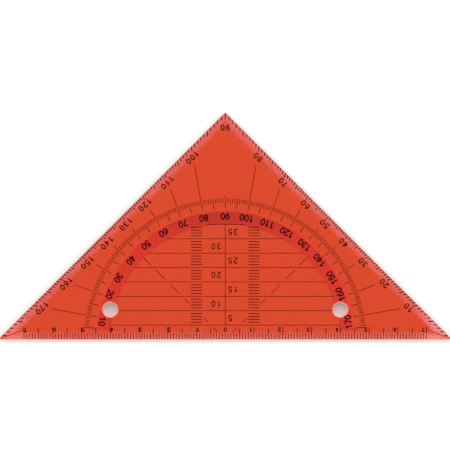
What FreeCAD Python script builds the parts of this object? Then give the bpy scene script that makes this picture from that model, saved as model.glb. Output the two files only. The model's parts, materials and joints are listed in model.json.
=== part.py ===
import FreeCAD, Part
import math
import os

# A flat moulded set square with a protractor, printed on its upper face.
# The origin is the zero point of the scales: the middle of the long edge, on the underside.
# +X runs along the long edge, +Y points to the right-angled corner and +Z is up. Sizes are in millimetres.

Vector = FreeCAD.Vector

# Plate
LONG_EDGE = 158.0
THICKNESS = 2.0
EDGE_HEIGHT = 1.2
LEG_BEVEL_WIDTH = 4.4
LONG_BEVEL_WIDTH = 3.8
CORNER_RADIUS = 0.25

# The two filing holes fit a ring binder
HOLE_SPACING = 80.0
HOLE_DIAMETER = 5.0
HOLE_INSET = 10.4
HOLE_CHAMFER = 0.3
HOLE_PRINT_CLEARANCE = 0.1

# Print in general
INK_THICKNESS = 0.02
EDGE_PRINT_CLEARANCE = 0.15
TICK_WIDTH = 0.23
FINE_LINE_WIDTH = 0.19

# Millimetre scale along the long edge
SCALE_END_MARGIN = 9.0
MILLIMETRE_TICK = 2.1
FIVE_MILLIMETRE_TICK = 3.9
CENTIMETRE_TICK = 4.2

# Protractor: a ring of degree ticks with a tinted band of numerals inside it
RING_LEG_MARGIN = 6.85
RING_FIRST_DEGREE = 5
DEGREE_TICK = 1.6
FIVE_DEGREE_TICK = 3.6
RAY_LEG_GAP = 5.6
UPRIGHT_TICK_START = 3.15
UPRIGHT_TICK_OVERRUN = 1.1
BAND_RING_GAP = 4.5
BAND_WIDTH = 4.5
BAND_LONG_EDGE_GAP = 3.3

# Degree ticks along the two legs, each aimed at the zero point
LEG_FIRST_DEGREE = 1
LEG_DEGREE_DEPTH = 1.03
LEG_FIVE_DEGREE_DEPTH = 1.5

# Lines parallel to the long edge, with a centre line and two ladders that divide the spaces between them
PARALLEL_SPACING = 5.0
PARALLEL_BAND_OVERLAP = 0.5
LADDER_CENTRE = 10.0
LADDER_LENGTH = 3.8
LADDER_LINE_WIDTH = 0.26
LADDER_DIVISIONS = 5

# Broken lines at 45 degrees. Each dash lies between two parallel lines, and starts and ends at these heights,
# counted in spaces from the zero point.
DIAGONAL_ANGLE = 45.0
DIAGONAL_DASHES = ((0.49, 0.83), (1.18, 1.49), (2.48, 2.82), (3.19, 3.81), (4.19, 4.82), (5.17, 5.72))

# Sizes that follow
HALF_EDGE = LONG_EDGE / 2
LEG_DISTANCE = HALF_EDGE / math.sqrt(2)
SCALE_REACH = int((HALF_EDGE - SCALE_END_MARGIN) // 10) * 10
RING_RADIUS = LEG_DISTANCE - RING_LEG_MARGIN
BAND_OUTER_RADIUS = RING_RADIUS - BAND_RING_GAP
BAND_INNER_RADIUS = BAND_OUTER_RADIUS - BAND_WIDTH
PARALLEL_REACH = BAND_INNER_RADIUS + PARALLEL_BAND_OVERLAP
PARALLEL_COUNT = int(PARALLEL_REACH // PARALLEL_SPACING)
ABOVE_PLATE = THICKNESS + 1.0


def polar(radius, degrees):
    """The point at a radius from the zero point, with degrees counted from +X towards +Y."""
    angle = math.radians(degrees)
    return Vector(radius * math.cos(angle), radius * math.sin(angle), 0)


def leg_radius(degrees, depth):
    """How far from the zero point a ray meets the line that lies depth inside its leg."""
    angle = math.radians(degrees)
    return (LEG_DISTANCE - depth) * math.sqrt(2) / (abs(math.cos(angle)) + math.sin(angle))


def triangle_wire(long_inset, leg_inset, height):
    """The plate's triangle at a height, drawn in by one distance at the long edge and another at the legs."""
    half = HALF_EDGE - long_inset - leg_inset * math.sqrt(2)
    left = Vector(-half, long_inset, height)
    right = Vector(half, long_inset, height)
    apex = Vector(0, long_inset + half, height)
    return Part.makePolygon([left, right, apex, left])


def bevelled_body(lift):
    """The sharp-cornered plate without its holes, raised by lift: upright walls with a bevel above each."""
    base = Part.Face(triangle_wire(0, 0, lift)).extrude(Vector(0, 0, EDGE_HEIGHT))
    shoulder = triangle_wire(0, 0, lift + EDGE_HEIGHT)
    top = triangle_wire(LONG_BEVEL_WIDTH, LEG_BEVEL_WIDTH, lift + THICKNESS)
    bevels = Part.makeLoft([shoulder, top], True, True)
    return base.fuse(bevels).removeSplitter()


def rounded_outline():
    """An upright prism over the plate's outline, with its three corners rounded."""
    prism = Part.Face(triangle_wire(0, 0, 0)).extrude(Vector(0, 0, ABOVE_PLATE))
    upright = [e for e in prism.Edges if abs(e.Vertexes[0].Z - e.Vertexes[1].Z) > THICKNESS]
    return prism.makeFillet(CORNER_RADIUS, upright)


def hole_centres():
    """The centres of the two filing holes, on the underside."""
    return [Vector(side * HOLE_SPACING / 2, HOLE_INSET, 0) for side in (-1, 1)]


def hole_cutter(centre):
    """A filing hole with a small chamfer at each mouth."""
    radius = HOLE_DIAMETER / 2
    bore = Part.makeCylinder(radius, THICKNESS, centre)
    wide = radius + HOLE_CHAMFER
    lower = Part.makeCone(wide, radius, HOLE_CHAMFER, centre)
    upper_seat = centre + Vector(0, 0, THICKNESS - HOLE_CHAMFER)
    upper = Part.makeCone(radius, wide, HOLE_CHAMFER, upper_seat)
    return bore.multiFuse([lower, upper])


def plate():
    """The moulded plate: a bevelled right-angled triangle with rounded corners and two filing holes."""
    body = bevelled_body(0).common(rounded_outline())
    cutters = [hole_cutter(centre) for centre in hole_centres()]
    return body.cut(cutters)


def ink_skin():
    """The layer that ink can fill, as thin as the print and lying on the top and the bevels."""
    return bevelled_body(INK_THICKNESS).cut(bevelled_body(0))


def hole_openings():
    """Cylinders round the mouths of the filing holes that the print keeps clear of."""
    radius = HOLE_DIAMETER / 2 + HOLE_CHAMFER + HOLE_PRINT_CLEARANCE
    return [Part.makeCylinder(radius, ABOVE_PLATE, centre) for centre in hole_centres()]


def facet_heights(point):
    """The heights over a point of the top, the long edge's bevel, the left bevel and the right bevel."""
    long_slope = (THICKNESS - EDGE_HEIGHT) / LONG_BEVEL_WIDTH
    leg_slope = (THICKNESS - EDGE_HEIGHT) / LEG_BEVEL_WIDTH
    to_left_leg = LEG_DISTANCE - (point.y - point.x) / math.sqrt(2)
    to_right_leg = LEG_DISTANCE - (point.y + point.x) / math.sqrt(2)
    bevels = [EDGE_HEIGHT + long_slope * point.y]
    bevels += [EDGE_HEIGHT + leg_slope * distance for distance in (to_left_leg, to_right_leg)]
    return [THICKNESS] + bevels


def bar(start, end, width):
    """The corners of a straight printed line from start to end."""
    along = end - start
    across = Vector(-along.y, along.x, 0).normalize() * (width / 2)
    return [start - across, end - across, end + across, start + across]


def radial_bar(degrees, inner, outer, width):
    """The corners of a printed line that points at the zero point."""
    return bar(polar(inner, degrees), polar(outer, degrees), width)


def ink_over(corners, skin):
    """One mark: a thin tile where a single facet carries it, or the part of the skin inside its outline."""
    heights = [min(facet_heights(corner)) for corner in corners]
    facets = {facet_heights(corner).index(height) for corner, height in zip(corners, heights)}
    if len(facets) == 1 and min(heights) >= EDGE_HEIGHT:
        seated = [corner + Vector(0, 0, height) for corner, height in zip(corners, heights)]
        return Part.Face(Part.makePolygon(seated + seated[:1])).extrude(Vector(0, 0, INK_THICKNESS))
    outline = Part.Face(Part.makePolygon(corners + corners[:1]))
    return outline.extrude(Vector(0, 0, ABOVE_PLATE)).common(skin)


def printed(outlines, skin):
    """The ink of a group of marks, kept clear of the filing holes."""
    marks = Part.makeCompound([ink_over(corners, skin) for corners in outlines])
    return Part.makeCompound(marks.cut(hole_openings()).Solids)


def millimetre_scale():
    """Outlines of the ticks along the long edge, numbered both ways from the zero point."""
    outlines = []
    for x in range(-SCALE_REACH, SCALE_REACH + 1):
        if x == 0 or x % 5:
            length = MILLIMETRE_TICK
        elif x % 10:
            length = FIVE_MILLIMETRE_TICK
        else:
            length = CENTIMETRE_TICK
        outlines.append(bar(Vector(x, EDGE_PRINT_CLEARANCE, 0), Vector(x, length, 0), TICK_WIDTH))
    return outlines


def protractor_ticks():
    """Outlines of the ring's ticks at the degrees that have no ray."""
    outlines = []
    for degrees in range(RING_FIRST_DEGREE, 180 - RING_FIRST_DEGREE + 1):
        if degrees % 10:
            length = DEGREE_TICK if degrees % 5 else FIVE_DEGREE_TICK
            outlines.append(radial_bar(degrees, RING_RADIUS - length, RING_RADIUS, TICK_WIDTH))
    return outlines


def ten_degree_rays():
    """Outlines of the lines from the ring towards the legs, with a short one at 90 degrees."""
    outlines = []
    for degrees in range(10, 180, 10):
        inner = RING_RADIUS - FIVE_DEGREE_TICK
        outer = leg_radius(degrees, RAY_LEG_GAP)
        if degrees == 90:
            inner = RING_RADIUS - UPRIGHT_TICK_START
            outer = RING_RADIUS + UPRIGHT_TICK_OVERRUN
        outlines.append(radial_bar(degrees, inner, outer, FINE_LINE_WIDTH))
    return outlines


def leg_degree_ticks(first, last):
    """Outlines of one leg's degree ticks, cut to one depth square to the leg."""
    outlines = []
    for degrees in range(first, last + 1):
        depth = LEG_DEGREE_DEPTH if degrees % 5 else LEG_FIVE_DEGREE_DEPTH
        inner = leg_radius(degrees, depth)
        outer = leg_radius(degrees, EDGE_PRINT_CLEARANCE)
        outlines.append(radial_bar(degrees, inner, outer, TICK_WIDTH))
    return outlines


def parallel_heights():
    """The distances of the parallel lines from the long edge."""
    return [PARALLEL_SPACING * count for count in range(1, PARALLEL_COUNT + 1)]


def parallel_lines():
    """Outlines of the lines parallel to the long edge, which all end on one circle."""
    outlines = []
    for y in parallel_heights():
        reach = math.sqrt(PARALLEL_REACH**2 - y**2)
        outlines.append(bar(Vector(-reach, y, 0), Vector(reach, y, 0), FINE_LINE_WIDTH))
    return outlines


def centre_line():
    """Outlines of the line square to the long edge, open where the parallel lines cross it."""
    half_width = FINE_LINE_WIDTH / 2
    heights = parallel_heights()
    outlines = []
    for low, high in zip(heights, heights[1:]):
        start = Vector(0, low + half_width, 0)
        end = Vector(0, high - half_width, 0)
        outlines.append(bar(start, end, FINE_LINE_WIDTH))
    return outlines


def millimetre_ladder(side):
    """Outlines of the short lines that divide the spaces between the parallel lines on one side."""
    inner = side * (LADDER_CENTRE - LADDER_LENGTH / 2)
    outer = side * (LADDER_CENTRE + LADDER_LENGTH / 2)
    step = PARALLEL_SPACING / LADDER_DIVISIONS
    heights = [low + step * count for low in parallel_heights()[:-1] for count in range(1, LADDER_DIVISIONS)]
    return [bar(Vector(inner, y, 0), Vector(outer, y, 0), LADDER_LINE_WIDTH) for y in heights]


def diagonal_dashes(degrees):
    """Outlines of a broken line from the zero point, as far as the circle that the parallel lines end on."""
    outlines = []
    for spaces in DIAGONAL_DASHES:
        inner, outer = [PARALLEL_SPACING * count / math.sin(math.radians(degrees)) for count in spaces]
        if outer < PARALLEL_REACH:
            outlines.append(radial_bar(degrees, inner, outer, FINE_LINE_WIDTH))
    return outlines


def numeral_band(skin, marks_over_it):
    """The tinted half ring behind the protractor's numerals, with the darker marks knocked out of it."""
    disc = Part.makeCylinder(BAND_OUTER_RADIUS, ABOVE_PLATE)
    core = Part.makeCylinder(BAND_INNER_RADIUS, ABOVE_PLATE)
    corner = Vector(-BAND_OUTER_RADIUS, BAND_LONG_EDGE_GAP, 0)
    window = Part.makeBox(2 * BAND_OUTER_RADIUS, BAND_OUTER_RADIUS, ABOVE_PLATE, corner)
    ring = disc.cut(core).common(window)
    return ring.common(skin).cut(hole_openings() + marks_over_it)


def build():
    """Every node's shape by name."""
    skin = ink_skin()
    nodes = {
        "plate": plate(),
        "millimetre_scale": printed(millimetre_scale(), skin),
        "protractor_ticks": printed(protractor_ticks(), skin),
        "ten_degree_rays": printed(ten_degree_rays(), skin),
        "leg_degree_ticks_right": printed(leg_degree_ticks(LEG_FIRST_DEGREE, 90), skin),
        "leg_degree_ticks_left": printed(leg_degree_ticks(91, 180 - LEG_FIRST_DEGREE), skin),
        "parallel_lines": printed(parallel_lines(), skin),
        "centre_line": printed(centre_line(), skin),
        "millimetre_ladder_left": printed(millimetre_ladder(-1), skin),
        "millimetre_ladder_right": printed(millimetre_ladder(1), skin),
        "diagonal_dashes_left": printed(diagonal_dashes(180 - DIAGONAL_ANGLE), skin),
        "diagonal_dashes_right": printed(diagonal_dashes(DIAGONAL_ANGLE), skin),
    }
    crossing = ("parallel_lines", "diagonal_dashes_left", "diagonal_dashes_right")
    nodes["numeral_band"] = numeral_band(skin, [nodes[name] for name in crossing])
    return nodes


os.makedirs("parts", exist_ok=True)
for name, shape in build().items():
    shape.exportStep(f"parts/{name}.step")
    print(name, "solids", len(shape.Solids), "volume", round(shape.Volume, 3), "valid", shape.isValid())
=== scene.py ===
"""The looks of a tinted set square with a protractor: its plate, its printed scales and a plain studio."""

import json
import logging
import math
from dataclasses import dataclass, field
from enum import Enum

import bpy
import numpy as np
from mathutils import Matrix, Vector
from mathutils.geometry import tessellate_polygon

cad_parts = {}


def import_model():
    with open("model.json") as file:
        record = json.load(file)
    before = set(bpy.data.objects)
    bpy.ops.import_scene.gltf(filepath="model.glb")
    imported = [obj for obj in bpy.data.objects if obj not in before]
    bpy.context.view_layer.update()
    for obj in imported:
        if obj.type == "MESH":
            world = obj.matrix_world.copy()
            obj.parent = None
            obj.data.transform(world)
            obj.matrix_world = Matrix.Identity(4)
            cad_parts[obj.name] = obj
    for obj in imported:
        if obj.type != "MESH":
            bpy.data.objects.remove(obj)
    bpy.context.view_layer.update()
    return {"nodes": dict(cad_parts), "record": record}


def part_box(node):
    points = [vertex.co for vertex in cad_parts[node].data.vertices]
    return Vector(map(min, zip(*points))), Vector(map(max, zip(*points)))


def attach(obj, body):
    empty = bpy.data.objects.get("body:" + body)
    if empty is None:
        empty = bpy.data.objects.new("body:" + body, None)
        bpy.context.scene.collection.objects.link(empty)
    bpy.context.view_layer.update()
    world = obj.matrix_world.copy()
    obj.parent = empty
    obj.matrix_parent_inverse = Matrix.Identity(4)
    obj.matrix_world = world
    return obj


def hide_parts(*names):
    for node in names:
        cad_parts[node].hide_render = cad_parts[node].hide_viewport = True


MM = 0.001
BODY = "root"
TENS = range(10, 180, 10)
log = logging.getLogger("set_square")

Colour = tuple[float, float, float]
Array = np.ndarray
Faces = list[list[int]]
Piece = bpy.types.Object
Material = bpy.types.Material
Socket = bpy.types.NodeSocket
Sockets = bpy.types.bpy_prop_collection


class Side(Enum):
    """The two halves of the part, by the sign of X."""

    LEFT = -1
    RIGHT = 1


class Slot(Enum):
    """Names of the record's material slots."""

    PLASTIC = "tinted_plastic"
    BLACK = "black_ink"


def grid_faces(rows: int, columns: int, start: int = 0) -> Array:
    """Quads between the neighbouring rows of a grid whose columns close on themselves.

    Args:
        rows: Number of rows of points.
        columns: Number of points in each row.
        start: Index of the grid's first point.

    Returns:
        An array of four indices for each quad, in the order that runs along the rows and then up.
    """
    row, column = np.meshgrid(np.arange(rows - 1), np.arange(columns), indexing="ij")
    beside = (column + 1) % columns
    near, far = row * columns, (row + 1) * columns
    corners = [near + column, near + beside, far + beside, far + column]
    return np.stack(corners, axis=-1).reshape(-1, 4) + start


def strip_faces(rows: int, start: int) -> Faces:
    """The faces of a closed strip whose section has four corners.

    Args:
        rows: Number of sections.
        start: Index of the first point.

    Returns:
        Point indices of each side's faces and of the two ends.
    """
    first = list(range(start, start + 4))
    last = [point + (rows - 1) * 4 for point in reversed(first)]
    return grid_faces(rows, 4, start)[:, ::-1].tolist() + [first, last]


def new_piece(name: str, points: Array, faces: Faces, smooth: bool) -> Piece:
    """A mesh object at the origin from points in metres.

    Args:
        name: Name of the piece.
        points: One row of X, Y and Z for each point.
        faces: Point indices of each face.
        smooth: Whether faces are shaded smooth, with flat faces kept flat by weighing normals by area.

    Returns:
        The new object, linked to the scene.
    """
    mesh = bpy.data.meshes.new(name)
    mesh.from_pydata(points.tolist(), [], faces)
    mesh.validate()
    if smooth:
        mesh.polygons.foreach_set("use_smooth", np.ones(len(mesh.polygons), bool))
        mesh.normals_split_custom_set_from_vertices(area_normals(mesh).tolist())
    mesh.update()
    piece = bpy.data.objects.new(name, mesh)
    bpy.context.scene.collection.objects.link(piece)
    return piece


def bend(before: Array, corner: Array, after: Array, steps: int) -> Array:
    """A corner drawn round: (1 - t)^2 * before + 2 t (1 - t) * corner + t^2 * after, for t from 0 to 1.

    Args:
        before: The point where the rounding starts.
        corner: The sharp corner.
        after: The point where the rounding ends.
        steps: Number of spans.

    Returns:
        One row for each point.
    """
    t = np.linspace(0, 1, steps + 1)[:, None]
    return (1 - t) ** 2 * np.array(before) + 2 * t * (1 - t) * np.array(corner) + t**2 * np.array(after)


def polar(radius: float, degrees: float) -> tuple[float, float]:
    """X and Y of the place at a radius and an angle from the zero point."""
    angle = math.radians(degrees)
    return radius * math.cos(angle), radius * math.sin(angle)


def area_normals(mesh: bpy.types.Mesh) -> Array:
    """Each point's normal: the sum of its faces' normals times their areas, made one long.

    Args:
        mesh: A mesh whose faces point outwards.

    Returns:
        One row of X, Y and Z for each point.
    """
    mesh.calc_loop_triangles()
    triangles = np.empty(len(mesh.loop_triangles) * 3, np.int32)
    mesh.loop_triangles.foreach_get("vertices", triangles)
    triangles = triangles.reshape(-1, 3)
    points = np.empty(len(mesh.vertices) * 3)
    mesh.vertices.foreach_get("co", points)
    a, b, c = (points.reshape(-1, 3)[triangles[:, i]] for i in range(3))
    weighted = np.cross(b - a, c - a)
    total = np.zeros((len(mesh.vertices), 3))
    for i in range(3):
        np.add.at(total, triangles[:, i], weighted)
    length = np.linalg.norm(total, axis=1, keepdims=True)
    return total / np.where(length > 0, length, 1)


@dataclass(frozen=True)
class PlateForm:
    """The plate's real sizes in millimetres, and the shape of its upper face."""

    thickness: float
    hole_radius: float
    hole_centres: tuple[tuple[float, float], ...]
    long_edge: float = 158.0
    edge_height: float = 1.2
    leg_bevel: float = 4.4
    long_bevel: float = 3.8
    corner_radius: float = 0.25
    hole_chamfer: float = 0.3
    ridge_reach: float = 1.6

    @classmethod
    def from_frame(cls, record: dict) -> "PlateForm":
        """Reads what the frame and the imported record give.

        Args:
            record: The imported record, whose round mounts are the filing holes.

        Returns:
            The plate's form.
        """
        low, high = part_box("plate")
        bores = [m for m in record["mounts"] if m["kind"] == "bore"]
        centres = tuple((m["pos_m"][0] / MM, m["pos_m"][1] / MM) for m in bores)
        return cls((high.z - low.z) / MM, bores[0]["dims"]["r_mm"], centres)

    @property
    def leg_distance(self) -> float:
        """How far the legs lie from the zero point."""
        return self.long_edge / 2 / math.sqrt(2)

    def height(self, x: Array, y: Array) -> Array:
        """The upper face's height: the lowest of the three bevels, each drawn round where it meets the top.

        With u the distance from an edge as a share of its bevel and q the rounding's reach as a share, the
        bevel's height over the edge is rise * u up to 1 - q, rise * (1 - (1 + q - u)^2 / (4 q)) up to
        1 + q, and rise beyond.

        Args:
            x: Places along the long edge.
            y: Distances from the long edge.

        Returns:
            The height over each place, in millimetres.
        """
        rise = self.thickness - self.edge_height
        to_leg = self.leg_distance - (np.abs(x) + y) / math.sqrt(2)
        share = np.minimum(y / self.long_bevel, to_leg / self.leg_bevel)
        q = self.ridge_reach / self.leg_bevel
        rounded = 1 - (1 + q - np.clip(share, 1 - q, 1 + q)) ** 2 / (4 * q)
        return self.edge_height + rise * np.where(share < 1 - q, share, rounded)

    def leg_radius(self, degrees: float | Array, depth: float | Array) -> float | Array:
        """How far from the zero point a ray meets the line that lies depth inside its leg."""
        angle = np.radians(degrees)
        return (self.leg_distance - depth) * math.sqrt(2) / (np.abs(np.cos(angle)) + np.sin(angle))


@dataclass
class MouldedPlate:
    """The plate with the small roundings that a moulding has along its edges, in place of the sharp solid.

    Its upper face lies a hair under the print, so that no two faces share one plane.
    """

    form: PlateForm
    edge_rounding: float = 0.12
    mouth_rounding: float = 0.05
    rounding_in_wall: float = 0.25
    smallest_corner: float = 0.02
    print_seat: float = 0.002
    steps_in_corner: int = 8
    steps_in_rounding: int = 6
    steps_round_hole: int = 128

    @property
    def top(self) -> float:
        """The height of the plate's flat upper face."""
        return self.form.thickness - self.print_seat

    def outline(self, long_inset: float, leg_inset: float, radius: float) -> Array:
        """The triangle with rounded corners, drawn in from its sides.

        A corner's arc has its centre where the two sides, drawn in by the radius more, meet, and its points
        are centre + radius * (cos t, sin t) with t from one side's outward direction to the next one's.

        Args:
            long_inset: Distance from the long edge.
            leg_inset: Distance from the legs.
            radius: Radius of the corners.

        Returns:
            The outline's points, anticlockwise from the right corner.
        """
        down = long_inset + radius
        inwards = leg_inset + radius
        half = self.form.long_edge / 2 - down - inwards * math.sqrt(2)
        centres = np.array([[half, down], [0, down + half], [-half, down]])
        outward = np.radians([[-90, 45], [45, 135], [135, 270]])
        t = np.linspace(0, 1, self.steps_in_corner + 1)[None, :]
        angle = outward[:, :1] * (1 - t) + outward[:, 1:] * t
        arcs = centres[:, None, :] + radius * np.stack([np.cos(angle), np.sin(angle)], axis=-1)
        return arcs.reshape(-1, 2)

    def profile(self) -> Array:
        """The section of the rim, from the underside round the wall and over the bevel to the top.

        Returns:
            Rows of inset as a share of the bevel, inset in millimetres added to it, and height.
        """
        r = self.edge_rounding
        edge = self.form.edge_height - self.print_seat
        rise = self.top - edge
        start = r / self.form.leg_bevel
        reach = self.form.ridge_reach / self.form.leg_bevel
        foot = bend((0, r, 0), (0, 0, 0), (0, 0, r), self.steps_in_rounding)
        on_bevel = (start, 0, edge + rise * start)
        shoulder = bend((0, 0, edge - r), (0, 0, edge), on_bevel, self.steps_in_rounding)
        before_ridge = (1 - reach, 0, self.top - rise * reach)
        ridge = bend(before_ridge, (1, 0, self.top), (1 + reach, 0, self.top), 2 * self.steps_in_rounding)
        return np.concatenate([foot, shoulder, ridge])

    def rim(self) -> tuple[Array, int]:
        """The rim's grid of points: one outline for each row of the profile.

        Returns:
            The points in millimetres and the number in each outline.
        """
        form = self.form
        rows = []
        for share, inset, height in self.profile():
            corner = max(form.corner_radius - inset, self.smallest_corner)
            ring = self.outline(share * form.long_bevel + inset, share * form.leg_bevel + inset, corner)
            rows.append(np.column_stack([ring, np.full(len(ring), height)]))
        return np.concatenate(rows), len(rows[0])

    def hole(self, centre: tuple[float, float]) -> Array:
        """A filing hole's grid: radius r(s) and height z(s) carried round by the angle.

        Args:
            centre: The hole's centre in millimetres.

        Returns:
            The points in millimetres, row by row from the top to the underside.
        """
        e, n = self.mouth_rounding, self.steps_in_rounding // 2
        r, top = self.form.hole_radius, self.top
        c = self.form.hole_chamfer - self.print_seat
        d = e / math.sqrt(2)
        mouth = bend((r + c + e, top), (r + c, top), (r + c - d, top - d), n)
        throat = bend((r + d, top - c + d), (r, top - c), (r, top - c - e), n)
        foot = bend((r, c + e), (r, c), (r + d, c - d), n)
        outlet = bend((r + c - d, d), (r + c, 0), (r + c + e, 0), n)
        section = np.concatenate([mouth, throat, foot, outlet])
        angle = np.linspace(0, 2 * np.pi, self.steps_round_hole, endpoint=False)[None, :]
        x = centre[0] + section[:, :1] * np.cos(angle)
        y = centre[1] + section[:, :1] * np.sin(angle)
        z = np.repeat(section[:, 1:], self.steps_round_hole, axis=1)
        return np.stack([x, y, z], axis=-1).reshape(-1, 3)

    def cap(self, loops: list[Array], upwards: bool, points: Array) -> Faces:
        """Triangles that fill a flat face between its outline and its holes.

        Args:
            loops: The indices of the outline's points and of each hole's.
            upwards: Whether the face looks up.
            points: All the plate's points.

        Returns:
            The triangles' point indices.
        """
        order = np.concatenate(loops)
        rings = [[Vector(p) for p in points[loop]] for loop in loops]
        triangles = order[np.array(tessellate_polygon(rings))]
        a, b, c = (points[triangles[:, i]][:, :2] for i in range(3))
        turn = (b - a)[:, 0] * (c - a)[:, 1] - (b - a)[:, 1] * (c - a)[:, 0]
        wrong = (turn > 0) != upwards
        triangles[wrong] = triangles[wrong][:, ::-1]
        return triangles.tolist()

    def frosted(self, mesh: bpy.types.Mesh) -> Array:
        """One for each face of a filing hole's chamfer, two for its wall's and nought for any other."""
        centres = np.empty(len(mesh.polygons) * 3)
        mesh.polygons.foreach_get("center", centres)
        flat = centres.reshape(-1, 3)[:, :2] / MM
        holes = np.array(self.form.hole_centres)
        away = np.linalg.norm(flat[:, None, :] - holes[None, :, :], axis=2).min(axis=1)
        chamfer = away < self.form.hole_radius + self.form.hole_chamfer
        wall = away < self.form.hole_radius + self.mouth_rounding * self.rounding_in_wall
        return chamfer.astype(np.int32) + wall

    def build(self) -> Piece:
        """Makes the plate as one closed piece, its holes marked for a second material."""
        rim, width = self.rim()
        rows = len(rim) // width
        faces = grid_faces(rows, width).tolist()
        parts = [rim]
        top_loops = [np.arange(len(rim) - width, len(rim))]
        under_loops = [np.arange(width)]
        start = len(rim)
        ring = self.steps_round_hole
        for centre in self.form.hole_centres:
            wall = self.hole(centre)
            faces += grid_faces(len(wall) // ring, ring, start).tolist()
            top_loops.append(np.arange(start, start + ring))
            under_loops.append(np.arange(start + len(wall) - ring, start + len(wall)))
            parts.append(wall)
            start += len(wall)
        points = np.concatenate(parts)
        faces += self.cap(top_loops, True, points)
        faces += self.cap(under_loops, False, points)
        piece = new_piece("moulded_plate", points * MM, faces, smooth=True)
        # Chamfer faces take the pink that partly paints their highlight, and wall faces the deeper pink.
        piece.data.polygons.foreach_set("material_index", self.frosted(piece.data))
        return piece


@dataclass(frozen=True)
class Digits:
    """Plain drawing-office digits, as pen strokes in a box one high to the middle of the pen."""

    width: float = 0.58
    steps: int = 18

    def line(self, x0: float, y0: float, x1: float, y1: float) -> Array:
        """Points along a straight stroke: (1 - t) * start + t * end, one row of X and Y for each."""
        t = np.linspace(0, 1, self.steps + 1)[:, None]
        return np.array([x0, y0]) * (1 - t) + np.array([x1, y1]) * t

    def arc(self, x: float, y: float, across: float, up: float, first: float, last: float) -> Array:
        """Points along an ellipse about (x, y), from one angle to another in degrees.

        A point is (x, y) + (across * cos a, up * sin a), one row of X and Y for each.
        """
        angle = np.radians(self.line(first, 0, last, 0)[:, :1])
        return np.array([x, y]) + np.concatenate([across * np.cos(angle), up * np.sin(angle)], axis=1)

    def strokes(self, digit: str) -> list[Array]:
        """The strokes of a digit from 0 to 9, each as points along its middle."""
        line, arc = self.line, self.arc
        w = self.width
        m = w / 2
        shapes = {
            "0": [arc(m, 0.5, m, 0.5, 0, 360)],
            "1": [line(0.1, 0.76, 0.36, 1), line(0.36, 1, 0.36, 0)],
            "2": [arc(m, 0.71, m, 0.29, 165, -35), line(0.527, 0.544, 0, 0), line(0, 0, w, 0)],
            "3": [arc(0.27, 0.765, 0.26, 0.235, 155, -90), arc(0.27, 0.265, 0.3, 0.265, 90, -155)],
            "4": [line(0.44, 0, 0.44, 1), line(0.44, 1, 0, 0.29), line(0, 0.29, w, 0.29)],
            "5": [line(0.53, 1, 0.1, 1), line(0.1, 1, 0.06, 0.55), arc(0.27, 0.33, 0.3, 0.33, 135, -150)],
            "6": [arc(m, 0.31, m, 0.31, 0, 360), arc(0.52, 0.31, 0.52, 0.69, 180, 98)],
            "7": [line(0, 1, w, 1), line(w, 1, 0.18, 0)],
            "8": [arc(m, 0.765, 0.24, 0.235, 0, 360), arc(m, 0.265, m, 0.265, 0, 360)],
            "9": [arc(m, 0.69, m, 0.31, 0, 360), arc(0.06, 0.69, 0.52, 0.69, 0, -82)],
        }
        return shapes[digit]


@dataclass(frozen=True)
class Lettering:
    """One size of numeral, in millimetres."""

    height: float
    pitch: float
    pen: float


@dataclass(frozen=True)
class Label:
    """A number printed on the plate: its text, its middle in millimetres and its direction in degrees."""

    text: str
    x: float
    y: float
    reads: float = 180.0


@dataclass(frozen=True)
class InkLayer:
    """How print lies on the plate, in millimetres: where its underside is and how thick it is."""

    seat: float = -0.001
    thickness: float = 0.019

    def section(self, form: PlateForm, flat: Array) -> Array:
        """The four corners of the print at each station.

        Args:
            form: The plate that it lies on.
            flat: The left and the right point at each station, as X and Y in the last two axes.

        Returns:
            The same stations with four points of X, Y and Z, in millimetres.
        """
        low = form.height(flat[..., 0], flat[..., 1]) + self.seat
        under = np.concatenate([flat, low[..., None]], axis=-1)
        over = under[..., ::-1, :] + np.array([0, 0, self.thickness])
        return np.concatenate([under, over], axis=-2)


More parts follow.
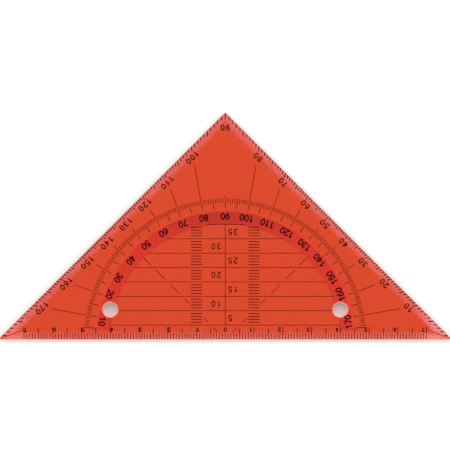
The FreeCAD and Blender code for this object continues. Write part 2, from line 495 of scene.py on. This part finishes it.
@dataclass
class PrintedNumerals:
    """A group of numbers, swept as thin pen strokes that lie on the plate's upper face."""

    name: str
    form: PlateForm
    lettering: Lettering
    labels: list[Label]
    ink: InkLayer = InkLayer()
    digits: Digits = Digits()
    steps_in_cap: int = 4
    cap_opens_at: float = 6.0

    def ribbon(self, path: Array) -> Array:
        """A flat pen line with round ends: half its width either side of the path.

        With s the distance along the path and p half the pen, the half width is sqrt(p^2 - (p - s)^2) for
        s under p, the same at the far end, and p between. The path is drawn out by p at both ends.

        Args:
            path: Points along the middle, in millimetres.

        Returns:
            The left and the right point at each station, as an array of stations by 2 by 2.
        """
        p = self.lettering.pen / 2
        first = (path[0] - path[1]) / np.linalg.norm(path[0] - path[1])
        last = (path[-1] - path[-2]) / np.linalg.norm(path[-1] - path[-2])
        turn = np.radians(np.linspace(self.cap_opens_at, 90, self.steps_in_cap + 1))[:-1]
        opening = path[0] + first * (p * np.cos(turn))[:, None]
        closing = path[-1] + last * (p * np.cos(turn[::-1]))[:, None]
        middle = np.concatenate([opening, path, closing])
        half = np.concatenate([p * np.sin(turn), np.full(len(path), p), p * np.sin(turn[::-1])])
        along = np.gradient(middle, axis=0)
        along /= np.linalg.norm(along, axis=1, keepdims=True)
        across = np.stack([-along[:, 1], along[:, 0]], axis=1) * half[:, None]
        return np.stack([middle + across, middle - across], axis=1)

    def place(self, label: Label, index: int, flat: Array) -> Array:
        """Turns and moves points of a digit's box to their place on the plate.

        Args:
            label: The number that the digit belongs to.
            index: The digit's place in the number.
            flat: Points in the digit's box, scaled to millimetres and centred on it.

        Returns:
            The points on the plate.
        """
        angle = math.radians(label.reads)
        right = np.array([math.cos(angle), math.sin(angle)])
        up = np.array([-right[1], right[0]])
        offset = (index - (len(label.text) - 1) / 2) * self.lettering.pitch
        return np.array([label.x, label.y]) + (flat[..., :1] + offset) * right + flat[..., 1:] * up

    def build(self) -> Piece:
        """Makes the whole group as one piece of ink."""
        size = self.lettering.height - self.lettering.pen
        middle = np.array([self.digits.width / 2, 0.5])
        parts: list[Array] = []
        faces: Faces = []
        start = 0
        for label in self.labels:
            for index, digit in enumerate(label.text):
                for stroke in self.digits.strokes(digit):
                    ribbon = self.ribbon((stroke - middle) * size)
                    section = self.ink.section(self.form, self.place(label, index, ribbon))
                    faces += strip_faces(len(section), start)
                    parts.append(section.reshape(-1, 3))
                    start += len(parts[-1])
        return new_piece(self.name, np.concatenate(parts) * MM, faces, smooth=False)


@dataclass
class LegTicks:
    """The degree ticks on one leg's bevel, drawn wider than the rest and close up to the edge."""

    name: str
    form: PlateForm
    first: int
    last: int
    width: float = 0.34
    depth: float = 1.05
    five_degree_depth: float = 1.55
    clearance: float = 0.06
    apex_clearance: float = 0.3
    ink: InkLayer = InkLayer()
    steps: int = 6

    def build(self) -> Piece:
        """Makes the ticks as one piece of ink.

        A tick on the ray at angle a is r * (cos a, sin a) + s * (-sin a, cos a), with r from the tick's
        depth out to the edge and s half the width to either side. Its ends lie along the leg: with n the
        leg's normal, r is less by s * (n . (-sin a, cos a)) / (n . (cos a, sin a)). The apex tick is cut
        square.
        """
        degrees = np.arange(self.first, self.last + 1)
        angle = np.radians(degrees)[:, None]
        depth = np.where(degrees % 5, self.depth, self.five_degree_depth)
        clearance = np.where(degrees == 90, self.apex_clearance, self.clearance)
        inner = self.form.leg_radius(degrees, depth)[:, None]
        outer = self.form.leg_radius(degrees, clearance)[:, None]
        radius = (inner + (outer - inner) * np.linspace(0, 1, self.steps + 1))[:, :, None]
        ray = np.stack([np.cos(angle), np.sin(angle)], axis=-1)
        square = np.stack([-np.sin(angle), np.cos(angle)], axis=-1)
        normal = np.stack([np.sign(90 - degrees)[:, None], np.ones_like(angle)], axis=-1)
        shear = (normal * square).sum(-1, keepdims=True) / (normal * ray).sum(-1, keepdims=True)
        shear[degrees == 90] = 0
        s = self.width / 2
        sides = [(radius + side * shear) * ray - side * square for side in (s, -s)]
        rings = self.ink.section(self.form, np.stack(sides, axis=2))
        rows = self.steps + 1
        faces = [face for tick in range(len(degrees)) for face in strip_faces(rows, tick * rows * 4)]
        return new_piece(self.name, rings.reshape(-1, 3) * MM, faces, smooth=False)


@dataclass
class NumeralPlan:
    """Where every number goes. The numbers read upright when the long edge is held at the top."""

    form: PlateForm
    scale_row: float = 3.38
    scale_reach: int = 7
    scale_shift_left: float = 0.6
    scale_shift_right: float = -1.1
    band_radius: float = 42.82
    band_dodges: dict = field(default_factory=lambda: {10: 8.4, 20: 21.4, 160: 158.6, 170: 171.9})
    band_outer: dict = field(default_factory=lambda: {10: 0.45, 20: 0.2, 160: 0.15, 170: 0.35})
    leg_depth: float = 3.05
    right_leg_reads: float = 135.0
    left_leg_reads: float = 225.0
    leg_slips: dict = field(
        default_factory=lambda: {10: 0.3, 20: 0.7, 30: 0.8, 40: 0.7, 50: 0.7, 60: 0.75, 70: 0.25, 80: 0.3}
    )
    apex_height: float = 73.7
    line_spacing: float = 5.0
    line_count: int = 7
    line_rise: float = 2.43
    line_pitch: float = 1.96
    line_inner_right: float = 1.75
    line_inner_left: float = 2.16

    def scale(self) -> list[Label]:
        """Centimetre numbers along the long edge, from 0 outwards both ways."""
        labels = [Label("0", 0.0, self.scale_row)]
        for number in range(1, self.scale_reach + 1):
            for side, shift in ((Side.LEFT, self.scale_shift_left), (Side.RIGHT, self.scale_shift_right)):
                x = 10 * side.value * number + shift
                labels.append(Label(str(number), x, self.scale_row))
        return labels

    def band(self) -> list[Label]:
        """Degree numbers in the tinted band, counted from the left, with their feet outwards."""
        labels = []
        for degrees in TENS:
            angle = 180 - self.band_dodges.get(degrees, degrees)
            x, y = polar(self.band_radius + self.band_outer.get(degrees, 0.0), angle)
            labels.append(Label(str(degrees), x, y, angle + 90))
        return labels

    def legs(self) -> list[Label]:
        """Degree numbers counted from the right, parallel to their leg and a little below their ray."""
        labels = [Label("90", 0.0, self.apex_height)]
        for degrees in [d for d in TENS if d != 90]:
            x, y = polar(self.form.leg_radius(degrees, self.leg_depth), degrees)
            slip = self.leg_slips[min(degrees, 180 - degrees)] / math.sqrt(2)
            x += math.copysign(slip, 90 - degrees)
            reads = self.right_leg_reads if degrees < 90 else self.left_leg_reads
            labels.append(Label(str(degrees), x, y - slip, reads))
        return labels

    def lines(self) -> list[Label]:
        """Millimetre numbers over the parallel lines, by turns right and left of the centre line."""
        labels = []
        for count in range(1, self.line_count + 1):
            side = Side.RIGHT if count % 2 else Side.LEFT
            text = str(int(self.line_spacing * count))
            inner = self.line_inner_right if side is Side.RIGHT else self.line_inner_left
            middle = inner + (len(text) - 1) * self.line_pitch / 2
            y = self.line_spacing * count + self.line_rise
            labels.append(Label(text, side.value * middle, y))
        return labels


class Nodes:
    """A short way to add and join the nodes of a node tree."""

    def __init__(self, tree: bpy.types.NodeTree) -> None:
        """Keeps the tree that nodes are added to."""
        self.tree = tree

    def put(self, target: Socket, value: object) -> None:
        """Joins an output to an input, or gives the input a value of its own.

        Args:
            target: The input.
            value: An output, a number, a vector or a colour.
        """
        if isinstance(value, Socket):
            self.tree.links.new(value, target)
        else:
            target.default_value = (*value, 1) if target.type == "RGBA" else value

    def add(self, kind: str, *inputs: object, **values: object) -> bpy.types.Node:
        """Adds a node and sets its inputs and properties.

        Args:
            kind: The node's type without its ShaderNode prefix.
            *inputs: What goes to its first inputs, in their order.
            **values: A property of the node, or what goes to an input by its name with _ for each space.

        Returns:
            The new node.
        """
        node = self.tree.nodes.new("ShaderNode" + kind)
        for key, value in values.items():
            if hasattr(node, key):
                setattr(node, key, value)
            else:
                self.put(node.inputs[key.replace("_", " ")], value)
        for target, value in zip(node.inputs, inputs):
            self.put(target, value)
        return node

    def make(self, kind: str, *inputs: object, **values: object) -> Socket:
        """Adds a node, as add does, and gives its first output."""
        return self.add(kind, *inputs, **values).outputs[0]

    def maths(self, operation: str, *inputs: object) -> Socket:
        """Adds a Math node for an operation on numbers or outputs, and gives its output."""
        return self.make("Math", *inputs, operation=operation)

    def ease(self, value: Socket, nought_at: object, one_at: object) -> Socket:
        """A smooth change from nought where the value is nought_at to one where it is one_at."""
        return self.make("MapRange", value, nought_at, one_at, interpolation_type="SMOOTHSTEP")

    def blend(self, share: Socket, first: object, second: object) -> Socket:
        """Two colours mixed, with share of the second."""
        mix = self.add("Mix", share, data_type="RGBA")
        first_colour, second_colour = (socket for socket in mix.inputs if socket.type == "RGBA")
        self.put(first_colour, first)
        self.put(second_colour, second)
        return next(socket for socket in mix.outputs if socket.type == "RGBA")

    def either_ray(self, first: str, second: str) -> Socket:
        """One for two kinds of ray, such as Shadow and Diffuse, and nought for any other."""
        kinds = self.add("LightPath").outputs
        return self.maths("MAXIMUM", kinds[f"Is {first} Ray"], kinds[f"Is {second} Ray"])


class SharedGroup:
    """A shader node group that is built once and placed in each tree with its own values.

    Each kind names its inputs in takes and its outputs in gives, with their types.
    """

    title: str
    takes: dict[str, str]
    gives: dict[str, str]
    built: dict[str, bpy.types.NodeTree] = {}

    @classmethod
    def tree(cls) -> bpy.types.NodeTree:
        """The group's tree, built the first time."""
        if cls.title not in cls.built:
            tree = bpy.data.node_groups.new(cls.title, "ShaderNodeTree")
            for way, sockets in (("INPUT", cls.takes), ("OUTPUT", cls.gives)):
                for name, kind in sockets.items():
                    tree.interface.new_socket(name, in_out=way, socket_type="NodeSocket" + kind)
            nodes = Nodes(tree)
            entry = tree.nodes.new("NodeGroupInput")
            leave = tree.nodes.new("NodeGroupOutput")
            for name, result in cls.fill(nodes, entry.outputs).items():
                nodes.put(leave.inputs[name], result)
            cls.built[cls.title] = tree
        return cls.built[cls.title]

    @classmethod
    def fill(cls, nodes: Nodes, given: Sockets) -> dict[str, Socket]:
        """Adds what the group holds.

        Args:
            nodes: The group's own tree.
            given: The group's inputs, by name.

        Returns:
            What goes to each of its outputs.
        """
        raise NotImplementedError

    @classmethod
    def place(cls, nodes: Nodes, **values: object) -> Sockets:
        """Puts the group in a tree, on Object coordinates where it takes coordinates.

        Args:
            nodes: The tree.
            **values: What goes to the other inputs.

        Returns:
            The group's outputs, by name.
        """
        if "Coordinates" in cls.takes:
            values["Coordinates"] = nodes.add("TexCoord").outputs["Object"]
        return nodes.add("Group", node_tree=cls.tree(), **values).outputs


class HandlingWear(SharedGroup):
    """What handling leaves on a smooth surface: fine straight scratches and faint smears.

    Scratches and Smears go from 0 to 1. Roughness is for adding to the surface's own, and Height is for a
    Bump node. A scratch is where a noise, drawn out some thirty to one, passes its middle value.
    """

    title = "handling_wear"
    takes = {"Coordinates": "Vector", "Scratches": "Float", "Smears": "Float"}
    gives = {"Roughness": "Float", "Height": "Float"}
    directions_and_seeds = ((17, 1.3), (-38, 5.1), (81, 9.7))
    scratch_scale = (45, 1500, 1)
    scratch_width = 0.006
    scratched_above = 0.56
    roughened_by = (0.25, 0.12)

    @classmethod
    def fill(cls, nodes: Nodes, given: Sockets) -> dict[str, Socket]:
        """Adds the group's nodes; see SharedGroup."""
        where = given["Coordinates"]
        scratches: float | Socket = 0.0
        for degrees, seed in cls.directions_and_seeds:
            turned = nodes.make(
                "Mapping",
                where,
                vector_type="POINT",
                Rotation=(0, 0, math.radians(degrees)),
                Location=(seed, -seed, 0),
                Scale=cls.scratch_scale,
            )
            noise = nodes.make("TexNoise", turned, Scale=1.0, Detail=2.0)
            off_middle = nodes.maths("ABSOLUTE", nodes.maths("SUBTRACT", noise, 0.5))
            line = nodes.maths("LESS_THAN", off_middle, cls.scratch_width)
            scratches = nodes.maths("MAXIMUM", scratches, line)
        patches = nodes.make("TexNoise", where, Scale=90.0, Detail=3.0)
        kept = nodes.maths("GREATER_THAN", patches, cls.scratched_above)
        scratches = nodes.maths("MULTIPLY", nodes.maths("MULTIPLY", scratches, kept), given["Scratches"])
        smear = nodes.make("TexNoise", where, Scale=35.0, Detail=4.0, Roughness=0.6)
        smears = nodes.maths("MULTIPLY", smear, given["Smears"])
        parts = [nodes.maths("MULTIPLY", *pair) for pair in zip((scratches, smears), cls.roughened_by)]
        return {"Roughness": nodes.maths("ADD", *parts), "Height": nodes.maths("MULTIPLY", scratches, -1.0)}


class Mottle(SharedGroup):
    """Two tones that mingle: the flow of clear plastic, and the grain of matt plastic and of ink."""

    title = "mottle"
    takes = {"Coordinates": "Vector", "Scale": "Float", "Detail": "Float"}
    takes |= {"First": "Color", "Second": "Color"}
    gives = {"Colour": "Color", "Height": "Float"}

    @classmethod
    def fill(cls, nodes: Nodes, given: Sockets) -> dict[str, Socket]:
        """Adds the group's nodes; see SharedGroup."""
        noise = nodes.make("TexNoise", given["Coordinates"], Scale=given["Scale"], Detail=given["Detail"])
        return {"Colour": nodes.blend(noise, given["First"], given["Second"]), "Height": noise}


class Finish:
    """A kind of surface, which knows how to make its material."""

    name: str

    def shade(self, nodes: Nodes) -> dict[str, Socket]:
        """Adds the material's nodes.

        Args:
            nodes: The material's tree.

        Returns:
            What goes to each input of the material's output.
        """
        raise NotImplementedError

    def material(self) -> Material:
        """Makes the material."""
        material = bpy.data.materials.new(self.name)
        material.use_nodes = True
        material.node_tree.nodes.clear()
        nodes = Nodes(material.node_tree)
        nodes.add("OutputMaterial", **self.shade(nodes))
        return material


@dataclass(frozen=True)
class TintedPlastic(Finish):
    """Moulded plastic, clear with a little red milkiness, whose tint deepens with its thickness."""

    name: str = "tinted_plastic"
    ior: float = 1.57
    roughness: float = 0.03
    per_metre: float = 2150.0
    keeps: Colour = (0.9963, 0.787, 0.499)
    clear: float = 0.7
    shadow: Colour = (0.7, 0.86, 0.87)
    flow_pale: Colour = (0.83, 0.134, 0.062)
    flow_deep: Colour = (0.81, 0.126, 0.058)
    scratch_depth: float = 2e-6

    def shade(self, nodes: Nodes) -> dict[str, Socket]:
        """A clear glossy face over an absorbing inside, which lamps shine on through; see Finish."""
        wear = HandlingWear.place(nodes, Scratches=0.5, Smears=0.5)
        flow = Mottle.place(nodes, Scale=28.0, Detail=2.0, First=self.flow_pale, Second=self.flow_deep)
        face = nodes.make(
            "BsdfPrincipled",
            IOR=self.ior,
            Transmission_Weight=self.clear,
            Roughness=nodes.maths("ADD", wear["Roughness"], self.roughness),
            Normal=nodes.make("Bump", Strength=0.15, Distance=self.scratch_depth, Height=wear["Height"]),
            Base_Color=flow["Colour"],
        )
        clear = nodes.make("BsdfTransparent", Color=self.shadow)
        surface = nodes.make("MixShader", nodes.either_ray("Shadow", "Diffuse"), face, clear)
        inside = nodes.make("VolumeAbsorption", Color=self.keeps, Density=self.per_metre)
        return {"Surface": surface, "Volume": inside}


@dataclass(frozen=True)
class FrostedRim(Finish):
    """The chamfers and walls of the filing holes, drawn as matt plastic. The chamfers' pale pink is partly
    a painted highlight, standing in for light that the chamfers catch and refract; the walls take a deeper
    pink.
    """

    name: str = "frosted_rim"
    # pale and deep: the chamfers' pale pink, partly a painted highlight for the light that they catch
    pale: Colour = (0.93, 0.42, 0.4)
    deep: Colour = (0.86, 0.26, 0.22)
    roughness: float = 0.45
    grain_depth: float = 1e-5

    def shade(self, nodes: Nodes) -> dict[str, Socket]:
        """A matt pink with a fine grain; see Finish."""
        grain = Mottle.place(nodes, Scale=1800.0, Detail=4.0, First=self.pale, Second=self.deep)
        bump = nodes.make("Bump", Strength=0.4, Distance=self.grain_depth, Height=grain["Height"])
        look = {"Base_Color": grain["Colour"], "Roughness": self.roughness, "Normal": bump}
        return {"Surface": nodes.make("BsdfPrincipled", **look)}


@dataclass(frozen=True)
class OpaqueInk(Finish):
    """Dense printing ink, a little thinner here and there."""

    name: str
    dense: Colour
    thin: Colour
    roughness: float = 0.5
    gloss: float = 0.04
    grain_depth: float = 4e-6

    def shade(self, nodes: Nodes) -> dict[str, Socket]:
        """A dull dark layer with a fine grain and some wear; see Finish."""
        wear = HandlingWear.place(nodes, Scratches=0.8, Smears=0.6)
        grain = Mottle.place(nodes, Scale=2600.0, Detail=3.0, First=self.dense, Second=self.thin)
        face = nodes.make(
            "BsdfPrincipled",
            Specular_IOR_Level=self.gloss,
            Roughness=nodes.maths("ADD", wear["Roughness"], self.roughness),
            Base_Color=grain["Colour"],
            Normal=nodes.make("Bump", Strength=0.3, Distance=self.grain_depth, Height=grain["Height"]),
        )
        return {"Surface": face}


@dataclass(frozen=True)
class TintedInk(Finish):
    """Translucent ink, darker towards the top of the arc: light goes through it and takes its tint."""

    name: str = "red_band_ink"
    passes: Colour = (1.0, 0.87, 0.89)
    passes_thin: Colour = (1.0, 0.905, 0.92)
    passes_dense: Colour = (0.93, 0.845, 0.9)
    body: Colour = (0.55, 0.01, 0.14)
    dense_from: float = 0.034
    dense_at: float = 0.0425
    gloss: float = 0.035
    roughness: float = 0.3

    def shade(self, nodes: Nodes) -> dict[str, Socket]:
        """A tinted clear layer with a little gloss; see Finish."""
        where = nodes.add("TexCoord").outputs["Object"]
        cloud = nodes.make("TexNoise", where, Scale=420.0, Detail=3.0)
        tint = nodes.blend(cloud, self.passes, self.passes_thin)
        high = nodes.add("SeparateXYZ", where).outputs["Y"]
        # The tint turns deeper towards the top of the arc.
        tint = nodes.blend(nodes.ease(high, self.dense_from, self.dense_at), tint, self.passes_dense)
        clear = nodes.make("BsdfTransparent", Color=tint)
        sheen = nodes.make("BsdfPrincipled", Roughness=self.roughness, Base_Color=self.body)
        return {"Surface": nodes.make("MixShader", self.gloss, clear, sheen)}


@dataclass(frozen=True)
class WhiteSheet(Finish):
    """The plain white floor: it takes shadows, and is even white through plastic and in reflections."""

    name: str = "white_sheet"
    colour: Colour = (0.95, 0.95, 0.95)
    glow: float = 0.065

    def shade(self, nodes: Nodes) -> dict[str, Socket]:
        """Matt paper with a faint glow to the camera, and plain white to other rays; see Finish."""
        seen = nodes.add("LightPath").outputs["Is Camera Ray"]
        own = nodes.make("Emission", Strength=nodes.maths("MULTIPLY", seen, self.glow))
        lit = nodes.make("AddShader", nodes.make("BsdfDiffuse", Color=self.colour), own)
        white = nodes.make("Emission", Strength=1.0)
        behind = nodes.either_ray("Glossy", "Transmission")
        return {"Surface": nodes.make("MixShader", behind, lit, white)}


@dataclass(frozen=True)
class Softbox:
    """A square soft lamp that looks at the part."""

    name: str
    place: tuple[float, float, float]
    size: float
    radiance: float

    def build(self, target: Vector) -> None:
        """Makes the lamp. Its power is radiance * pi * area, so that its face has that radiance.

        Args:
            target: The point it looks at.
        """
        lamp = bpy.data.lights.new(self.name, "AREA")
        lamp.shape = "SQUARE"
        lamp.size = self.size
        lamp.energy = self.radiance * math.pi * self.size**2
        lamp_object = bpy.data.objects.new(self.name, lamp)
        lamp_object.location = self.place
        direction = Vector(self.place) - target
        lamp_object.rotation_euler = direction.to_track_quat("Z", "Y").to_euler()
        bpy.context.scene.collection.objects.link(lamp_object)


@dataclass(frozen=True)
class Glint:
    """A soft pale patch on a bevel.

    It lies round (x, y), is as wide as spread in degrees, and fades from the edge inwards: it would be
    whole at the depth starts and is gone at the depth gone, both in millimetres.
    """

    x: float
    y: float
    spread: float
    radiance: float
    starts: float = -3.0
    gone: float = 3.9
    bright_share: float = 0.25
    dark_share: float = 1.5


class SoftWindow(SharedGroup):
    """A soft round window in the sky, with one straight side.

    Inner and Outer are cosines to Towards, and Starts and Gone are cosines to Across, which is square to
    the straight side. Light is one inside Inner and Starts, nought past Outer or Gone, and a smooth fall
    between.
    """

    title = "soft_window"
    takes = dict.fromkeys(("Direction", "Towards", "Across"), "Vector")
    takes |= dict.fromkeys(("Inner", "Outer", "Starts", "Gone"), "Float")
    gives = {"Light": "Float"}

    @classmethod
    def fill(cls, nodes: Nodes, given: Sockets) -> dict[str, Socket]:
        """Adds the group's nodes; see SharedGroup."""
        falls = []
        for axis, dark, light in (("Towards", "Outer", "Inner"), ("Across", "Gone", "Starts")):
            cosine = nodes.add("VectorMath", given["Direction"], given[axis], operation="DOT_PRODUCT")
            falls.append(nodes.ease(cosine.outputs["Value"], given[dark], given[light]))
        return {"Light": nodes.maths("MULTIPLY", *falls)}


@dataclass
class Studio:
    """The white floor, the lamp, the surroundings and the camera."""

    form: PlateForm
    floor_gap: float = 0.05 * MM
    floor_size: float = 3.0
    sky_low: float = 2.0
    sky_mirrored: float = 0.7
    sky_high: float = 0.12
    sky_turns_at: float = 0.48
    sky_settles_at: float = 0.78
    glint_tint: Colour = (0.75, 0.9, 1.2)
    picture_pixels: int = 450
    pixels_per_mm: float = 2.8775
    print_height: float = 2.02
    zero_pixel: tuple[float, float] = (225.22, 339.5)
    lens: float = 120.0
    sensor: float = 36.0
    lamp: Softbox = Softbox("key_softbox", place=(0.0, 1.0, 1.0), size=0.9, radiance=2.8)
    glints: tuple[Glint, ...] = (
        Glint(-7.0, 69.5, 2.6, 3.4),
        Glint(7.0, 69.5, 2.4, 2.9),
        Glint(38.0, 38.5, 2.3, 3.6),
        Glint(-38.0, 38.5, 2.3, 2.9),
        Glint(64.0, 12.3, 2.0, 2.6),
        Glint(-64.0, 12.3, 2.0, 2.3),
        Glint(15.0, 1.9, 12.0, 2.6),
        Glint(-75.5, 3.0, 0.8, 3.2, -1.0, 6.0),
        Glint(-74.5, 1.2, 0.7, 3.2, -1.0, 6.0),
        Glint(75.5, 3.0, 0.8, 5.6, -1.0, 6.0),
        Glint(74.5, 1.2, 0.7, 2.6, -1.0, 6.0),
    )

    def eye(self) -> Vector:
        """Where the camera is: straight over the middle of the picture, as far off as its lens needs."""
        view_width = self.picture_pixels / self.pixels_per_mm * MM
        distance = view_width * self.lens / self.sensor
        middle = self.picture_pixels / 2
        x = (middle - self.zero_pixel[0]) / self.pixels_per_mm * MM
        y = (self.zero_pixel[1] - middle) / self.pixels_per_mm * MM
        return Vector((x, y, self.print_height * MM + distance))

    def mirrored(self, glint: Glint) -> tuple[Vector, Vector, float]:
        """What the bevel mirrors to the eye at a patch.

        The eye's mirror image in the bevel is eye - 2 ((eye - p) . n) n, with n the bevel's normal and p a
        place on its outer edge. The bevel shows what lies on the line from there through each place on it.

        Args:
            glint: The patch on a bevel.

        Returns:
            The direction that the patch mirrors; the direction square to it and to the bevel's edge; and
            the cosine to the latter that is gained for each millimetre of depth.
        """
        form = self.form
        rise = form.thickness - form.edge_height
        to_leg = form.leg_distance - (abs(glint.x) + glint.y) / math.sqrt(2)
        if glint.y / form.long_bevel < to_leg / form.leg_bevel:
            outwards, width, depth = Vector((0, -1, 0)), form.long_bevel, glint.y
        else:
            outwards = Vector((math.copysign(1, glint.x), 1, 0)).normalized()
            width, depth = form.leg_bevel, to_leg
        normal = (outwards * rise / width + Vector((0, 0, 1))).normalized()
        inwards = Vector((0, 0, rise / width)) - outwards
        edge = (Vector((glint.x, glint.y, 0)) + outwards * depth + Vector((0, 0, form.edge_height))) * MM
        image = self.eye() - 2 * (self.eye() - edge).dot(normal) * normal
        across = (edge - image).cross(outwards.cross(Vector((0, 0, 1)))).normalized()
        across *= math.copysign(1, across.dot(inwards))
        gain = inwards.dot(across) * MM / (edge - image).length
        return (edge + inwards * depth * MM - image).normalized(), across, gain

    def floor(self) -> None:
        """Makes the floor, a hair under the part."""
        half = self.floor_size / 2
        z = -self.floor_gap
        points = np.array([[-half, -half, z], [half, -half, z], [half, half, z], [-half, half, z]])
        sheet = new_piece("floor", points, [[0, 1, 2, 3]], smooth=False)
        sheet.data.materials.append(WhiteSheet().material())

    def sky(self) -> None:
        """Makes even surroundings, darker overhead, with a soft window for each glint on the bevels.

        Low down they are dimmer in mirror images than they are as light, so that they don't veil the tint.
        The windows are there in mirror images only, and put no light on the part.
        """
        world = bpy.data.worlds.new("studio")
        bpy.context.scene.world = world
        world.use_nodes = True
        world.node_tree.nodes.clear()
        nodes = Nodes(world.node_tree)
        direction = nodes.add("TexCoord").outputs["Generated"]
        high = nodes.add("SeparateXYZ", direction).outputs["Z"]
        low_down = nodes.ease(high, self.sky_settles_at, self.sky_turns_at)
        mirrored = nodes.either_ray("Glossy", "Transmission")
        dimmed = nodes.maths("MULTIPLY", mirrored, self.sky_low - self.sky_mirrored)
        over_high = nodes.maths("SUBTRACT", self.sky_low - self.sky_high, dimmed)
        sky = nodes.maths("ADD", nodes.maths("MULTIPLY", low_down, over_high), self.sky_high)
        glow: float | Socket = 0.0
        for glint in self.glints:
            towards, across, gain = self.mirrored(glint)
            window = SoftWindow.place(
                nodes,
                Direction=direction,
                Towards=towards,
                Across=across,
                Starts=glint.starts * gain,
                Gone=glint.gone * gain,
                Inner=math.cos(math.radians(glint.spread * glint.bright_share)),
                Outer=math.cos(math.radians(glint.spread * glint.dark_share)),
            )
            glow = nodes.maths("ADD", glow, nodes.maths("MULTIPLY", window["Light"], glint.radiance))
        glow = nodes.maths("MULTIPLY", glow, nodes.add("LightPath").outputs["Is Glossy Ray"])
        tinted = nodes.make("VectorMath", self.glint_tint, operation="SCALE", Scale=glow)
        total = nodes.make("VectorMath", sky, tinted, operation="ADD")
        nodes.add("OutputWorld", nodes.make("Background", Color=total))

    def camera(self) -> None:
        """Makes the camera, which looks straight down at the scale that the print has in the picture."""
        data = bpy.data.cameras.new("camera")
        data.lens = self.lens
        data.sensor_width = self.sensor
        camera = bpy.data.objects.new("camera", data)
        camera.location = self.eye()
        bpy.context.scene.collection.objects.link(camera)
        bpy.context.scene.camera = camera

    def build(self) -> None:
        """Makes everything round the part."""
        self.floor()
        self.sky()
        low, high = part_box("plate")
        self.lamp.build((low + high) / 2)
        self.camera()
        bpy.context.scene.view_settings.view_transform = "Standard"


@dataclass
class SetSquare:
    """The whole part: the plate, the solids of its marks and the numbers."""

    nodes: dict
    form: PlateForm
    band_lettering: Lettering = Lettering(2.5, 1.66, 0.48)
    leg_lettering: Lettering = Lettering(2.2, 1.85, 0.37)
    line_lettering: Lettering = Lettering(2.2, 1.96, 0.32)
    scale_lettering: Lettering = Lettering(1.65, 1.3, 0.33)

    def finish(self, piece: Piece, material: Material, slot: Slot) -> None:
        """Gives a new piece its material and its place in the part.

        Args:
            piece: The piece.
            material: Its material.
            slot: The record's slot that it belongs to; not used.
        """
        piece.data.materials.append(material)
        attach(piece, BODY)
        log.info("%s: %d faces", piece.name, len(piece.data.polygons))

    def dress(self, node: Piece, material: Material) -> None:
        """Gives a solid of the frame its material, in place of the one that it came with."""
        node.data.materials.clear()
        node.data.materials.append(material)
        log.info("%s dressed in %s", node.name, material.name)

    def build(self) -> None:
        """Makes and dresses every piece."""
        plate = MouldedPlate(self.form).build()
        self.finish(plate, TintedPlastic().material(), Slot.PLASTIC)
        # The chamfers' pale pink is partly a painted highlight; the walls are a deeper matt pink.
        wall = FrostedRim("hole_wall", pale=(0.68, 0.12, 0.1), deep=(0.55, 0.08, 0.065))
        for matt in (FrostedRim(), wall):
            plate.data.materials.append(matt.material())
        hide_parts("plate")
        # The inner ink's dark red is partly painted light: it stands in for the plate's red glow around and
        # under the lines. The edge ink is nearer black.
        inner = OpaqueInk("inner_ink", dense=(0.045, 0.0003, 0.0003), thin=(0.075, 0.0008, 0.0008))
        edge = OpaqueInk("edge_ink", dense=(0.022, 0.001, 0.002), thin=(0.04, 0.002, 0.004))
        inner_ink, edge_ink = inner.material(), edge.material()
        others = {"plate", "numeral_band", "leg_degree_ticks_left", "leg_degree_ticks_right"}
        for name, node in self.nodes.items():
            if name not in others:
                self.dress(node, inner_ink)
        self.dress(self.nodes["numeral_band"], TintedInk().material())
        for name, first, last in (("leg_ticks_right", 1, 90), ("leg_ticks_left", 91, 179)):
            ticks = LegTicks(name, self.form, first, last).build()
            self.finish(ticks, edge_ink, Slot.BLACK)
            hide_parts(name.replace("ticks", "degree_ticks"))
        plan = NumeralPlan(self.form)
        groups = (
            ("band_numerals", self.band_lettering, plan.band()),
            ("leg_numerals", self.leg_lettering, plan.legs()),
            ("line_numerals", self.line_lettering, plan.lines()),
            ("scale_numerals", self.scale_lettering, plan.scale()),
        )
        for name, lettering, labels in groups:
            self.finish(PrintedNumerals(name, self.form, lettering, labels).build(), inner_ink, Slot.BLACK)


def main() -> None:
    """Builds the part and its studio."""
    logging.basicConfig(level=logging.INFO, format="%(message)s")
    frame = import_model()
    form = PlateForm.from_frame(frame["record"])
    SetSquare(frame["nodes"], form).build()
    Studio(form).build()


if __name__ == "__main__":
    main()
